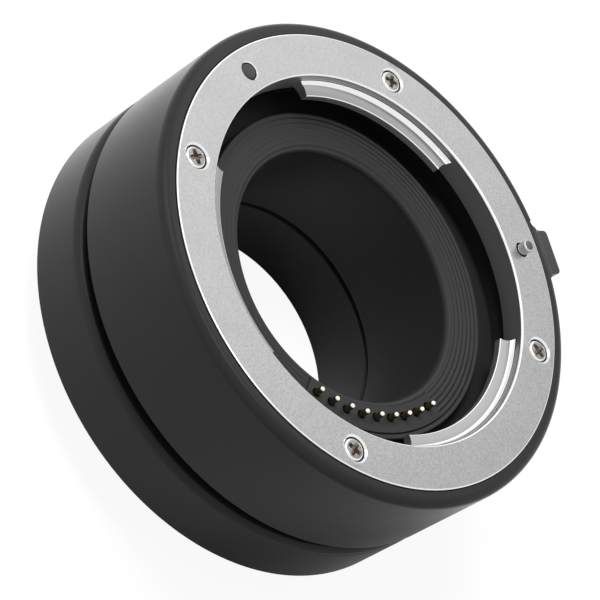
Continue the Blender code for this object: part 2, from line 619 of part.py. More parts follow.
def build_male_ring(side, parent, level, slot_sweep):
    """Male bayonet: flange, cylinder and three lugs, with the lock pin's hole in the flange."""
    flange = level["flange"]
    top = level["pocket"] - SEAT_GAP
    end = flange - MALE_REACH
    profile = [
        (FLANGE_R - TAIL_CHAMFER, flange), (MALE_CYLINDER_R, flange),
        (MALE_CYLINDER_R, end + LUG_CHAMFER), (MALE_CYLINDER_R - LUG_CHAMFER, end),
        (MALE_BORE_R, end), (MALE_BORE_R, top), (FLANGE_R, top), (FLANGE_R, flange + TAIL_CHAMFER),
    ]
    obj = ring(side + "_male_bayonet", parent, profile, WIDE_FACETS)
    root_r = (MALE_BORE_R + MALE_CYLINDER_R) / 2
    lug_bottom = end + LUG_CHAMFER / 2
    lug_top = end + LUG_THICK
    lug = [
        (root_r, lug_bottom), (LUG_R - LUG_CHAMFER, lug_bottom), (LUG_R, lug_bottom + LUG_CHAMFER),
        (LUG_R, lug_top - LUG_CHAMFER / 2), (LUG_R - LUG_CHAMFER / 2, lug_top), (root_r, lug_top),
    ]
    fuse(obj, sectors(side + "_lugs", parent, lug, lug_spans()))
    slot_half = LOCK_PIN_R + SEAT_GAP
    clear = SEAT_GAP
    if slot_sweep:
        slot = [(LOCK_CIRCLE_R - slot_half, flange - clear), (LOCK_CIRCLE_R + slot_half, flange - clear),
                (LOCK_CIRCLE_R + slot_half, top - WEB / 10), (LOCK_CIRCLE_R - slot_half, top - WEB / 10)]
        room = 2.6
        span = ((LOCK_ANGLE - slot_sweep - room, LOCK_ANGLE + room),)
        cut(obj, sectors(side + "_lock_slot", parent, slot, span))
    else:
        hole = cylinder_outline(slot_half, top - WEB / 10, flange - clear)
        cut(obj, studs(side + "_lock_hole", parent, LOCK_CIRCLE_R, (LOCK_ANGLE,), hole, SMALL_FACETS))
    head_r = MALE_SCREW_HEAD_R + HOLE_GAP
    shank_r = SCREW_SHANK_R + HOLE_GAP
    cone = head_r - shank_r
    bore = ((0, top + clear), (shank_r, top + clear), (shank_r, flange + cone + HOLE_GAP),
            (head_r, flange + HOLE_GAP), (head_r, flange - clear), (0, flange - clear))
    cut(obj, studs(side + "_countersinks", parent, MALE_SCREW_CIRCLE_R, MALE_SCREW_ANGLES, bore, TINY_FACETS))
    return finish(obj, material(side + "_bayonet_plating", CHROME_PLATE, 0.3, 1.0))


def build_male_screws(side, parent, level):
    """Countersunk screws that hold the male bayonet to the barrel from behind."""
    mat = material(side + "_tail_screw_steel", STEEL, 0.3, 1.0)
    cone = MALE_SCREW_HEAD_R - SCREW_SHANK_R
    outline = ((0, 0), (MALE_SCREW_HEAD_R, 0), (MALE_SCREW_HEAD_R, HOLE_GAP),
               (SCREW_SHANK_R, cone + HOLE_GAP), (SCREW_SHANK_R, MALE_SCREW_LENGTH), (0, MALE_SCREW_LENGTH))
    for number, degrees in enumerate(MALE_SCREW_ANGLES, 1):
        place = polar(MALE_SCREW_CIRCLE_R, degrees, level["flange"] + MALE_SCREW_SINK)
        obj = lathe("%s_bayonet_screw_%d" % (side, number), parent, outline, TINY_FACETS, place)
        finish(obj, mat)


def build_pad_block(side, parent, level):
    """Rear contact strip with a raised pad for each sprung pin that it meets."""
    pad_plane = level["flange"] - PAD_TOP
    under = pad_plane + PAD_RISE
    over = under + PAD_BLOCK_THICK
    profile = [(PAD_BLOCK_INNER_R, under), (PAD_BLOCK_OUTER_R, under),
               (PAD_BLOCK_OUTER_R, over), (PAD_BLOCK_INNER_R, over)]
    obj = sectors(side + "_pad_strip", parent, profile, block_span(BLOCK_MARGIN), 8)
    pads = cylinder_outline(PAD_R, under + PAD_BLOCK_THICK / 2, pad_plane)
    fuse(obj, studs(side + "_pads", parent, CONTACT_CIRCLE_R, contact_angles(), pads, TINY_FACETS))
    return finish(obj, material(side + "_pad_strip_black", BLACK_PLASTIC, 0.45, 0.0))


def build_tube(side, face_z, length, pressed, slot_sweep):
    carrier = bpy.data.objects.new(side + "_tube", None)
    bpy.context.scene.collection.objects.link(carrier)
    carrier.location = (0, 0, face_z)
    level = tube_levels(length)
    build_barrel(side, carrier, level)
    build_mount_ring(side, carrier, level)
    build_ring_screws(side, carrier)
    build_index_dot(side, carrier)
    build_lever(side, carrier, level)
    build_lock_pin(side, carrier, level)
    build_lever_spring(side, carrier, level)
    build_baffle(side, carrier, level)
    build_contact_block(side, carrier)
    build_contact_pins(side, carrier, pressed)
    build_male_ring(side, carrier, level, slot_sweep)
    build_male_screws(side, carrier, level)
    build_pad_block(side, carrier, level)


def main():
    clear_scene()
    rear_face = MALE_REACH - SEAT_GAP + REAR_LENGTH
    front_face = rear_face + FRONT_LENGTH
    build_tube("rear", rear_face, REAR_LENGTH, MATED_PRESS, 0)
    build_tube("front", front_face, FRONT_LENGTH, 0, TWIST)


main()
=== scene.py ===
# Macro extension tube set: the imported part, remodelled finer and given its finishes.
from math import cos, degrees, pi, radians, sin

import bpy
from mathutils import Matrix, Quaternion, Vector


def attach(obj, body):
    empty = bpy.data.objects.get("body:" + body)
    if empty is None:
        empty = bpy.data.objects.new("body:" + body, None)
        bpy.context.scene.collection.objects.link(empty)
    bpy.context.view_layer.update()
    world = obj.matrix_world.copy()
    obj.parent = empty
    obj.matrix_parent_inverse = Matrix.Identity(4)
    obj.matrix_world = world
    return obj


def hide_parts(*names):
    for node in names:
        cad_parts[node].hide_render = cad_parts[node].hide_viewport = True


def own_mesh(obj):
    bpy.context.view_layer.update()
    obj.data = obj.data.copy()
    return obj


print("loading the packed part")
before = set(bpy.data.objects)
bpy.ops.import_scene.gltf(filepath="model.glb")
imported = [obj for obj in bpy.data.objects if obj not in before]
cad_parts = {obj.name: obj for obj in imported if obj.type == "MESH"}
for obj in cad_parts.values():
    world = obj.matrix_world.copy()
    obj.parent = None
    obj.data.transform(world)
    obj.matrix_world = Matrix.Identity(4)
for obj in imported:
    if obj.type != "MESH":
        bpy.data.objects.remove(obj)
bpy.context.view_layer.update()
mm = 0.001

# lengths are in mm and angles in degrees, and a piece's heights are measured from its mount face;
# face: the mount face above the table; pressed: how far the contact pins are pushed in at rest;
# lockSweep: how far the lock slot runs round
tubes = {
    "front": {"face": 30.0, "length": 16.0, "pressed": 0.0, "lockSweep": 60.0},
    "rear": {"face": 14.0, "length": 10.0, "pressed": 0.4, "lockSweep": 0.0},
}


# Camera, lamps and table

view = {
    "place": (-171.09, -199.41, 253.34),
    "aim": (0.82, 1.32, 15.0),
    "roll": 58.6,
    "lens": 176.48,
    "sensor": 36.0,
    "near": 10.0,
    "far": 10000.0,
}

studio = {
    "air": "#f2f2f2",
    "airStrength": 0.34,
    "table": "#f0f0f0",
    "tableGlow": 1.05,  # how bright the white table is seen
    "tableShare": 0.12,  # the share of a lit card in what the camera sees of it
    "mirroredShare": 0.95,  # and in what the object mirrors of it
    "tableSize": 1600,
    "tableDrop": 0.02,
    "middle": 15,  # the height that the lamps stand round and aim at
    "lamps": (
        # azimuth, elevation, distance, width, height, strength,
        # and whether it is mirrored in what shines or lights what is dull
        (140, 57, 700, 280, 280, 5.8, "lights"),
        (148, 54, 700, 400, 400, 0.55, "mirrored"),
        (72, 44, 800, 540, 480, 0.6, "mirrored"),
        (49, 82, 700, 200, 200, 0.4, "mirrored"),
    ),
}


def linear(hexColour):
    # sRGB hex to the linear values that a node expects
    channels = [int(hexColour[i:i + 2], 16) / 255 for i in (1, 3, 5)]
    return [c / 12.92 if c <= 0.04045 else ((c + 0.055) / 1.055) ** 2.4 for c in channels] + [1.0]


def addNode(tree, kind, settings=None, links=None):
    # a node with its settings and the sockets that feed it
    node = tree.nodes.new(kind)
    for key, value in (settings or {}).items():
        if key in node.inputs:
            node.inputs[key].default_value = value
        else:
            setattr(node, key, value)
    for key, source in (links or {}).items():
        tree.links.new(source, node.inputs[key])
    return node


def placeCamera():
    bpy.ops.object.camera_add()
    camera = bpy.context.object
    place = Vector(view["place"]) * mm
    towards = Vector(view["aim"]) * mm - place
    turn = towards.to_track_quat("-Z", "Y") @ Quaternion((0, 0, 1), radians(view["roll"]))
    camera.location = place
    camera.rotation_euler = turn.to_euler()
    camera.data.lens = view["lens"]
    camera.data.sensor_width = view["sensor"]
    camera.data.clip_start = view["near"] * mm
    camera.data.clip_end = view["far"] * mm
    bpy.context.scene.camera = camera


def placeLamps():
    for azimuth, elevation, distance, width, height, strength, use in studio["lamps"]:
        bpy.ops.object.light_add(type="AREA")
        lamp = bpy.context.object
        lamp.data.shape = "RECTANGLE"
        lamp.data.size = width * mm
        lamp.data.size_y = height * mm
        lamp.data.energy = strength
        lamp.visible_glossy = use == "mirrored"
        lamp.visible_diffuse = use == "lights"
        reach = distance * cos(radians(elevation))
        rise = distance * sin(radians(elevation)) + studio["middle"]
        lamp.location = Vector((reach * cos(radians(azimuth)), reach * sin(radians(azimuth)), rise)) * mm
        towards = Vector((0, 0, studio["middle"])) * mm - lamp.location
        lamp.rotation_euler = towards.to_track_quat("-Z", "Y").to_euler()


def seenRays(tree):
    # 1 for the rays that show the surroundings: the camera's, and those off shining or through clear surfaces
    path = addNode(tree, "ShaderNodeLightPath")
    shine = addNode(tree, "ShaderNodeMath", {"operation": "MAXIMUM"},
                    {0: path.outputs["Is Glossy Ray"], 1: path.outputs["Is Transmission Ray"]})
    seen = addNode(tree, "ShaderNodeMath", {"operation": "MAXIMUM"},
                   {0: path.outputs["Is Camera Ray"], 1: shine.outputs[0]})
    return seen.outputs[0]


def lightTheAir():
    world = bpy.data.worlds.new("studioAir")
    bpy.context.scene.world = world
    world.use_nodes = True
    tree = world.node_tree
    tree.nodes.clear()
    dim = addNode(tree, "ShaderNodeBackground",
                  {"Color": linear(studio["air"]), "Strength": studio["airStrength"]})
    white = addNode(tree, "ShaderNodeBackground", {"Color": (1, 1, 1, 1), "Strength": 1.0})
    mix = addNode(tree, "ShaderNodeMixShader", None,
                  {0: seenRays(tree), 1: dim.outputs[0], 2: white.outputs[0]})
    addNode(tree, "ShaderNodeOutputWorld", None, {"Surface": mix.outputs[0]})


def layTable():
    height = -studio["tableDrop"] * mm
    bpy.ops.mesh.primitive_plane_add(size=studio["tableSize"] * mm, location=(0, 0, height))
    table = bpy.context.object
    table.name = "table"
    material = bpy.data.materials.new("whiteTable")
    material.use_nodes = True
    tree = material.node_tree
    tree.nodes.clear()
    # where it is seen or mirrored, a glow makes it white, and the lit card keeps the object's shadow
    card = addNode(tree, "ShaderNodeBsdfDiffuse", {"Color": linear(studio["table"])})
    glow = addNode(tree, "ShaderNodeEmission", {"Color": (1, 1, 1, 1), "Strength": studio["tableGlow"]})
    path = addNode(tree, "ShaderNodeLightPath")
    share = addNode(tree, "ShaderNodeMapRange",
                    {"To Min": studio["tableShare"], "To Max": studio["mirroredShare"]},
                    {"Value": path.outputs["Is Glossy Ray"]})
    white = addNode(tree, "ShaderNodeMixShader", None,
                    {0: share.outputs["Result"], 1: glow.outputs[0], 2: card.outputs[0]})
    mix = addNode(tree, "ShaderNodeMixShader", None,
                  {0: seenRays(tree), 1: card.outputs[0], 2: white.outputs[0]})
    addNode(tree, "ShaderNodeOutputMaterial", None, {"Surface": mix.outputs[0]})
    table.data.materials.append(material)


bpy.context.scene.view_settings.view_transform = "Standard"
placeCamera()
placeLamps()
lightTheAir()
layTable()
print("camera, lamps and table placed")


# what a fine and a broad noise mostly stay between, and how wide the broad patches are
fineRange = {"From Min": 0.3, "From Max": 0.7}
broadRange = {"From Min": 0.35, "From Max": 0.65}
patchSize = 6.0


def paintFinish(name, colour, roughness, grainDepth, grainSize, spread, metallic=0.0, ior=1.5,
                speckle=0.0, patches=0.0):
    # one shader: a fine grain moves its surface and its roughness, by spread either way,
    # and where it has speckle or patches, a fine and a broad noise move its colour
    material = bpy.data.materials.new(name)
    material.use_nodes = True
    tree = material.node_tree
    tree.nodes.clear()
    place = addNode(tree, "ShaderNodeTexCoord")
    fine = addNode(tree, "ShaderNodeTexNoise",
                   {"Scale": 1 / (grainSize * mm), "Detail": 3.0, "Roughness": 0.6},
                   {"Vector": place.outputs["Object"]})
    dull = addNode(tree, "ShaderNodeMapRange",
                   fineRange | {"To Min": roughness - spread, "To Max": roughness + spread},
                   {"Value": fine.outputs["Fac"]})
    bump = addNode(tree, "ShaderNodeBump", {"Strength": 1.0, "Distance": grainDepth * mm},
                   {"Height": fine.outputs["Fac"]})
    shader = addNode(tree, "ShaderNodeBsdfPrincipled",
                     {"Base Color": linear(colour), "Metallic": metallic, "IOR": ior},
                     {"Roughness": dull.outputs["Result"], "Normal": bump.outputs["Normal"]})
    if speckle or patches:
        broad = addNode(tree, "ShaderNodeTexNoise", {"Scale": 1 / (patchSize * mm), "Detail": 2.0},
                        {"Vector": place.outputs["Object"]})
        tint = addNode(tree, "ShaderNodeMapRange",
                       broadRange | {"To Min": 1.0 - patches, "To Max": 1.0 + patches},
                       {"Value": broad.outputs["Fac"]})
        fleck = addNode(tree, "ShaderNodeMapRange",
                        fineRange | {"To Min": 1.0 - speckle, "To Max": 1.0 + speckle},
                        {"Value": fine.outputs["Fac"]})
        shade = addNode(tree, "ShaderNodeMath", {"operation": "MULTIPLY"},
                        {0: tint.outputs["Result"], 1: fleck.outputs["Result"]})
        hue = addNode(tree, "ShaderNodeHueSaturation", {"Color": linear(colour)},
                      {"Value": shade.outputs[0]})
        tree.links.new(hue.outputs["Color"], shader.inputs["Base Color"])
    addNode(tree, "ShaderNodeOutputMaterial", None, {"Surface": shader.outputs[0]})
    return material


# satin chrome: brass, bead-blasted and plated, so the face scatters light in fine grains;
# here and below, a grain too fine to show is drawn as coarse as it needs to show
satinChrome = paintFinish("satinChrome", "#a6a6a6", 0.3, grainDepth=0.022, grainSize=0.26, spread=0.05,
                          metallic=1.0, speckle=0.13, patches=0.02)
# polished chrome of bevels, fillets and screw shoulders, which draws thin bright lines
polishedChrome = paintFinish("polishedChrome", "#ececec", 0.12, grainDepth=0.002, grainSize=0.3,
                             spread=0.04, metallic=1.0)
# turned chrome of the ring's walls, its fine tool marks blurring what it mirrors
turnedChrome = paintFinish("turnedChrome", "#bebebe", 0.42, grainDepth=0.0004, grainSize=0.2,
                           spread=0.008, metallic=1.0)
# milled chrome of the tabs' ledges, a smooth grey between the satin face and the turned wall
milledChrome = paintFinish("milledChrome", "#9c9c9c", 0.3, grainDepth=0.001, grainSize=0.2,
                           spread=0.02, metallic=1.0)
# black lacquer on aluminium: even and satin, with a faint orange peel
blackLacquer = paintFinish("blackLacquer", "#282829", 0.21, grainDepth=0.003, grainSize=0.22,
                           spread=0.03, ior=1.24, patches=0.03)
# black anodising inside the barrel, where no lacquer is sprayed, which leaves it dull
blackAnodise = paintFinish("blackAnodise", "#242425", 0.5, grainDepth=0.004, grainSize=0.2,
                           spread=0.05, ior=1.22)
# black ABS, moulded in a spark-eroded tool whose fine pits keep it dull
mouldedBlack = paintFinish("mouldedBlack", "#262627", 0.46, grainDepth=0.008, grainSize=0.18,
                           spread=0.05, ior=1.34)
# black glass-filled nylon of the contact blocks and pad strips, as dull as the moulding round them
contactNylon = paintFinish("contactNylon", "#242425", 0.46, grainDepth=0.006, grainSize=0.15,
                           spread=0.05, ior=1.34)
# black acetal of the levers, moulded smooth enough to mirror a lamp softly
acetalBlack = paintFinish("acetalBlack", "#161617", 0.22, grainDepth=0.002, grainSize=0.2,
                          spread=0.03, ior=1.48)
# dark grey enamel, brushed into the index dots and flat when dry
greyEnamel = paintFinish("greyEnamel", "#38383a", 0.45, grainDepth=0.004, grainSize=0.15,
                         spread=0.04, ior=1.35)
# hard gold plate on the tips of the sprung pins, burnished by the pads to small bright points
goldPlate = paintFinish("goldPlate", "#fbf1dc", 0.12, grainDepth=0.001, grainSize=0.1,
                        spread=0.03, metallic=1.0)
# brass shaft of a pin, darker than brass: painted shade for the dark that its sides mirror
shadedShaftBrass = paintFinish("shadedShaftBrass", "#8c8068", 0.35, grainDepth=0.002, grainSize=0.1,
                         spread=0.05, metallic=1.0)
# nickel-plated steel of the screw heads, whose cold-formed skin gives an uneven shine
nickelSteel = paintFinish("nickelSteel", "#918f8c", 0.26, grainDepth=0.01, grainSize=0.14,
                          spread=0.08, metallic=1.0, speckle=0.15)
# the driver's recess in a screw, pressed rough: its darker, browner colour is painted shade in the recess,
# and its strong light and dark flecks are painted glints
shadedRecessSteel = paintFinish("shadedRecessSteel", "#8a817a", 0.26, grainDepth=0.09, grainSize=0.2,
                          spread=0.12, metallic=1.0, speckle=0.5)
# ground steel of the lock pin's sides and bevel, which catch the light
groundSteel = paintFinish("groundSteel", "#c8c8c7", 0.16, grainDepth=0.002, grainSize=0.15,
                          spread=0.05, metallic=1.0)
# steel of the lock pin's flat top, darker than its sides: painted shade for the dark that the top mirrors
shadedPinTopSteel = paintFinish("shadedPinTopSteel", "#5c5c5d", 0.28, grainDepth=0.003, grainSize=0.15,
                       spread=0.05, metallic=1.0)
# drawn spring wire, grey and a little dull
springWire = paintFinish("springWire", "#a8a6a2", 0.3, grainDepth=0.003, grainSize=0.1,
                         spread=0.05, metallic=1.0)
print("finishes mixed")


# Workshop: what every piece below is drawn, turned, cut and finished with

workshop = {
    "weldGap": 0.0004,  # points nearer to each other than this become one
    "corner": 30,  # edges turned more than this stay crisp
    "flat": 0.97,  # a face lies flat when its normal points up or down by more than this
    "wall": 0.1,  # and is a wall when by less than this
    "layer": 0.01,  # how far below a face its own layer reaches
}


def deselectAll():
    if bpy.context.mode != "OBJECT":
        bpy.ops.object.mode_set(mode="OBJECT")
    bpy.ops.object.select_all(action="DESELECT")


def pick(piece):
    deselectAll()
    piece.select_set(True)
    bpy.context.view_layer.objects.active = piece


def polar(radius, angle, height=0.0):
    return Vector((radius * cos(radians(angle)), radius * sin(radians(angle)), height)) * mm


def arc(centre, radius, start, end, steps):
    points = []
    for step in range(steps + 1):
        angle = radians(start + (end - start) * step / steps)
        points.append((centre[0] + radius * cos(angle), centre[1] + radius * sin(angle)))
    return points


def drawOutline(name, corners, filled=True):
    # a plane merged to one vertex, then extruded from corner to corner
    deselectAll()
    bpy.ops.mesh.primitive_plane_add(size=mm)
    piece = bpy.context.object
    piece.name = name
    piece.data.name = name
    bpy.ops.object.mode_set(mode="EDIT")
    bpy.ops.mesh.merge(type="CENTER")
    bpy.ops.transform.translate(value=corners[0])
    for near, far in zip(corners, corners[1:]):
        bpy.ops.mesh.extrude_region_move(TRANSFORM_OT_translate={"value": far - near})
    bpy.ops.mesh.select_all(action="SELECT")
    if filled:
        bpy.ops.mesh.edge_face_add()
    return piece


def closeShell():
    bpy.ops.mesh.select_all(action="SELECT")
    bpy.ops.mesh.remove_doubles(threshold=workshop["weldGap"] * mm)
    bpy.ops.mesh.normals_make_consistent(inside=False)
    bpy.ops.object.mode_set(mode="OBJECT")


def turnRing(name, profile, face, steps):
    # a closed profile of (radius, height) makes a full turn about the optical axis
    piece = drawOutline(name, [Vector((r, 0, face + z)) * mm for r, z in profile])
    bpy.ops.mesh.delete(type="ONLY_FACE")
    bpy.ops.mesh.select_all(action="SELECT")
    bpy.ops.mesh.spin(steps=steps, angle=2 * pi, use_auto_merge=True, center=(0, 0, 0), axis=(0, 0, 1))
    closeShell()
    return piece


def turnSector(name, profile, face, start, end, steps):
    # the same profile turned only from start to end degrees, with flat ends
    piece = drawOutline(name, [polar(r, start, face + z) for r, z in profile])
    bpy.ops.mesh.spin(steps=steps, angle=-radians(end - start), center=(0, 0, 0), axis=(0, 0, 1))
    closeShell()
    return piece


def turnStud(name, outline, centre, steps=48):
    # an open outline from axis to axis, turned about its own upright axis
    piece = drawOutline(name, [centre + Vector((r, 0, z)) * mm for r, z in outline], filled=False)
    bpy.ops.mesh.spin(steps=steps, angle=2 * pi, use_auto_merge=True, center=centre, axis=(0, 0, 1))
    closeShell()
    return piece


def extrudePlan(name, plan, top, bottom):
    # a plan of (x, y, 0) corners drawn at the bottom and raised to the top
    piece = drawOutline(name, [Vector((x, y, bottom * mm)) for x, y, z in plan])
    bpy.ops.mesh.extrude_region_move(TRANSFORM_OT_translate={"value": (0, 0, (top - bottom) * mm)})
    closeShell()
    return piece


def applyModifier(piece, kind, **settings):
    pick(piece)
    bpy.ops.object.modifier_add(type=kind)
    modifier = piece.modifiers[-1]
    for key, value in settings.items():
        setattr(modifier, key, value)
    bpy.ops.object.modifier_apply(modifier=modifier.name)


def cutAway(piece, *tools):
    for tool in tools:
        applyModifier(piece, "BOOLEAN", operation="DIFFERENCE", object=tool, solver="EXACT")
        bpy.data.objects.remove(tool)


def weldOn(piece, *tools):
    for tool in tools:
        applyModifier(piece, "BOOLEAN", operation="UNION", object=tool, solver="EXACT")
        bpy.data.objects.remove(tool)


def finishPiece(piece, body, finishes, standsFor, choose=None):
    # crisp corners, soft curves, its finishes, and the body it rides on
    piece.data.materials.clear()
    for material in finishes:
        piece.data.materials.append(material)
    for polygon in piece.data.polygons:
        polygon.material_index = choose(polygon) if choose else 0
    pick(piece)
    bpy.ops.object.shade_smooth_by_angle(angle=radians(workshop["corner"]))
    applyModifier(piece, "WEIGHTED_NORMAL", keep_sharp=True, mode="FACE_AREA")
    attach(piece, body)
    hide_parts(*standsFor)


def copyTurned(piece, name, angle):
    # a copy with its own mesh, turned about the optical axis
    pick(piece)
    bpy.ops.object.duplicate()
    twin = bpy.context.object
    twin.name = name
    twin.data.name = name
    twin.data.transform(Matrix.Rotation(radians(angle), 4, "Z"))
    return twin


def sloped(polygon):
    # a bevel or a fillet, neither flat nor a wall
    return workshop["wall"] < abs(polygon.normal.z) < workshop["flat"]


def pinAxis(height=0.0):
    # a point on the axis that the lock pin and the lever share
    return polar(lever["circle"], lever["angle"], height)


# Barrels

barrel = {
    "radius": 31.0,
    "rimDrop": 0.2,
    "rimInner": 29.14,
    "rimEdge": 0.06,
    "rimRound": 1.2,
    "tailStep": 1.4,
    "tailChamfer": 0.15,
    "tailPocket": 0.9,
    "pocketRadius": 28.95,
    "seat": 2.3,
    "shelf": 6.5,
    "shelfRadius": 20.0,
    "throatRadius": 24.5,
    "liningMargin": 0.1,  # the lining reaches this far past the throat's wall
    "hollow": {"front": (29.0, -8.3, -12.3), "rear": None},  # radius, top and bottom
    "toolReach": 0.5,  # how far a cutting tool reaches past what it cuts
    "steps": 240,
}


def leverPlan(corners):
    # corners measured out from the lock pin's axis and across, put in place on the barrel
    turn = Matrix.Rotation(radians(lever["angle"]), 3, "Z")
    return [pinAxis() + turn @ (Vector((x, y, 0)) * mm) for x, y in corners]


def leverBlock(name, inner, outer, half, top, bottom):
    # a block in line with the lever, from inner to outer and half as wide on either side
    plan = leverPlan([(inner, -half), (outer, -half), (outer, half), (inner, half)])
    return extrudePlan(name, plan, top, bottom)


def makeBarrel(side):
    face = tubes[side]["face"]
    tail = -tubes[side]["length"] + barrel["tailStep"]
    pocket = tail + barrel["tailPocket"]
    shelf = barrel["shelfRadius"]
    rim = -barrel["rimDrop"]
    rimCentre = (barrel["radius"] - barrel["rimRound"], rim - barrel["rimRound"])
    profile = [
        (barrel["rimInner"], -barrel["seat"]),
        (barrel["rimInner"], rim - barrel["rimEdge"]),
        (barrel["rimInner"] + barrel["rimEdge"], rim),
    ]
    profile += arc(rimCentre, barrel["rimRound"], 90, 0, 12)
    profile += [
        (barrel["radius"], tail + barrel["tailChamfer"]),
        (barrel["radius"] - barrel["tailChamfer"], tail),
        (barrel["pocketRadius"], tail),
        (barrel["pocketRadius"], pocket),
        (shelf, pocket),
    ]
    if barrel["hollow"][side]:
        wall, top, bottom = barrel["hollow"][side]
        profile += [(shelf, bottom), (wall, bottom), (wall, top), (shelf, top)]
    profile += [
        (shelf, -barrel["shelf"]),
        (barrel["throatRadius"], -barrel["shelf"]),
        (barrel["throatRadius"], -barrel["seat"]),
    ]
    piece = turnRing(side + "Barrel", profile, face, barrel["steps"])
    room = lever["room"]
    inner = -lever["sliderInner"] - room
    edge = barrel["rimInner"] - lever["circle"]
    out = lever["reach"] - lever["circle"]
    floor = -lever["sliderTop"] - lever["sliderThick"] - lever["springRoom"]
    cutAway(piece, leverBlock("pocketTool", inner, edge, lever["sliderHalf"] + room,
                              face - lever["sliderTop"] + room, face + floor))
    windowTop = rim - lever["bridge"]
    windowBottom = -lever["top"] - lever["height"] - lever["travel"] - room
    window = leverBlock("windowTool", edge - barrel["toolReach"], out, lever["rootHalf"] + room,
                        face + windowTop, face + windowBottom)
    applyModifier(window, "BEVEL", width=lever["windowRound"] * mm, segments=3, limit_method="ANGLE")
    # over the lever the rim keeps only its inner edge
    notch = leverBlock("notchTool", lever["notch"], out, lever["notchHalf"],
                       face + barrel["toolReach"], face + windowTop - lever["notchDeeper"])
    cutAway(piece, window, notch)
    lined = (barrel["throatRadius"] + barrel["liningMargin"]) * mm
    finishPiece(piece, side + "_tube", [blackLacquer, blackAnodise],
                [side + "_barrel"], choose=lambda polygon: int(polygon.center.xy.length < lined))


# Release levers and their springs

lever = {
    "angle": 30.0,
    "circle": 26.25,
    "reach": 33.6,
    "top": 1.2,
    "height": 4.4,
    "tipHalf": 2.95,
    "rootHalf": 4.15,
    "flare": 1.5,  # how much longer than wide the sweep from root to tip is
    "corner": 0.55,
    "bevel": 0.22,
    "sliderHalf": 3.0,
    "sliderTop": 2.3,
    "sliderThick": 2.0,
    "sliderInner": 1.15,
    "sliderPast": 0.6,  # how far the slider reaches under the lever
    "stemHole": 0.65,
    "stemFloor": 0.3,
    "travel": 1.35,
    "room": 0.3,  # the gap to what it moves against
    "bridge": 0.6,  # how high the rim's wall is over the window
    "windowRound": 0.3,
    "notch": 3.5,
    "notchHalf": 4.05,
    "notchDeeper": 0.4,
    "ramp": (5.1, 6.0),
    "rampSteps": 16,
    "rampLift": 0.02,
    "rampDrop": 0.3,
    "tipRise": 0.1,
    "scoopHigh": 1.0,
    "scoopHalf": 6.0,
    "springRoom": 2.6,
}


def scoopTool(face):
    # what is cut off the lever's top: a short ramp down for the fingertip, then a slow rise to the tip
    turn = Matrix.Rotation(radians(lever["angle"]), 3, "Z")
    axis = pinAxis(face - lever["top"])
    start, end = lever["ramp"]
    tip = lever["reach"] - lever["circle"] + barrel["toolReach"]
    high, half = lever["scoopHigh"], lever["scoopHalf"]
    line = []
    for step in range(lever["rampSteps"] + 1):
        share = step / lever["rampSteps"]
        drop = lever["rampDrop"] * (0.5 - 0.5 * cos(pi * share))
        line.append((start + (end - start) * share, lever["rampLift"] - drop))
    line += [(tip, lever["tipRise"] - lever["rampDrop"]), (tip, high), (start, high)]
    tool = drawOutline("scoopTool", [axis + turn @ (Vector((x, -half, z)) * mm) for x, z in line])
    across = turn @ (Vector((0, 2 * half, 0)) * mm)
    bpy.ops.mesh.extrude_region_move(TRANSFORM_OT_translate={"value": across})
    closeShell()
    return tool


def makeLever(side):
    face = tubes[side]["face"]
    root = barrel["radius"] - lever["circle"]
    tip = lever["reach"] - lever["circle"]
    seat = barrel["rimInner"] + barrel["rimEdge"] - lever["circle"]
    sweep = lever["rootHalf"] - lever["tipHalf"]
    corner = lever["corner"]
    half = [(seat, lever["rootHalf"]), (root, lever["rootHalf"])]
    for step in range(1, 7):
        angle = radians(15 * step)
        out = root + lever["flare"] * sweep * (1 - cos(angle))
        half.append((out, lever["rootHalf"] - sweep * sin(angle)))
    half.append((tip - corner, lever["tipHalf"]))
    half += arc((tip - corner, lever["tipHalf"] - corner), corner, 75, 0, 5)
    plan = half + [(x, -y) for x, y in reversed(half)]
    top = face - lever["top"]
    piece = extrudePlan(side + "ReleaseLever", leverPlan(plan), top, top - lever["height"])
    cutAway(piece, scoopTool(face))
    applyModifier(piece, "BEVEL", width=lever["bevel"] * mm, segments=4, limit_method="ANGLE",
                  angle_limit=radians(50))
    top = face - lever["sliderTop"]
    weldOn(piece, leverBlock("sliderBody", -lever["sliderInner"], seat + lever["sliderPast"],
                             lever["sliderHalf"], top, top - lever["sliderThick"]))
    above = lever["room"]
    floor = lever["stemFloor"] - lever["sliderThick"]
    hole = ((0, above), (lever["stemHole"], above), (lever["stemHole"], floor), (0, floor))
    cutAway(piece, turnStud("stemTool", hole, pinAxis(top), steps=32))
    finishPiece(piece, side + "_release", [acetalBlack], [side + "_release_lever"])


leverSpring = {
    "radius": 1.1,
    "wire": 0.13,  # half the wire's thickness
    "turns": 2.5,
    "gap": 0.3,
    "keep": 0.42,  # the share of its height that is left at full press
    "steps": 80,
}


def makeLeverSpring(side):
    # wire wound round the lock pin's axis, which closes up as the lever is pressed
    wire = leverSpring["wire"]
    top = tubes[side]["face"] - lever["sliderTop"] - lever["sliderThick"] - leverSpring["gap"]
    bottom = top - lever["springRoom"] + 2 * leverSpring["gap"]
    section = arc((leverSpring["radius"], bottom + wire), wire, 0, 330, 11)
    piece = drawOutline(side + "LeverSpring", [Vector((r, 0, z)) * mm for r, z in section])
    bpy.ops.mesh.delete(type="ONLY_FACE")
    applyModifier(piece, "SCREW", axis="Z", angle=2 * pi * leverSpring["turns"],
                  screw_offset=(top - bottom - 2 * wire) * mm,
                  steps=leverSpring["steps"], render_steps=leverSpring["steps"])
    bpy.ops.object.mode_set(mode="EDIT")
    bpy.ops.mesh.select_all(action="SELECT")
    bpy.ops.mesh.fill_holes(sides=16)
    closeShell()
    piece.data.transform(Matrix.Translation(pinAxis()))
    finishPiece(piece, side + "_tube", [springWire], [side + "_lever_spring"])
    tuple(pinAxis(bottom))
    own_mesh(piece)


# Mount rings with their tabs, screws, index dot and lock pin

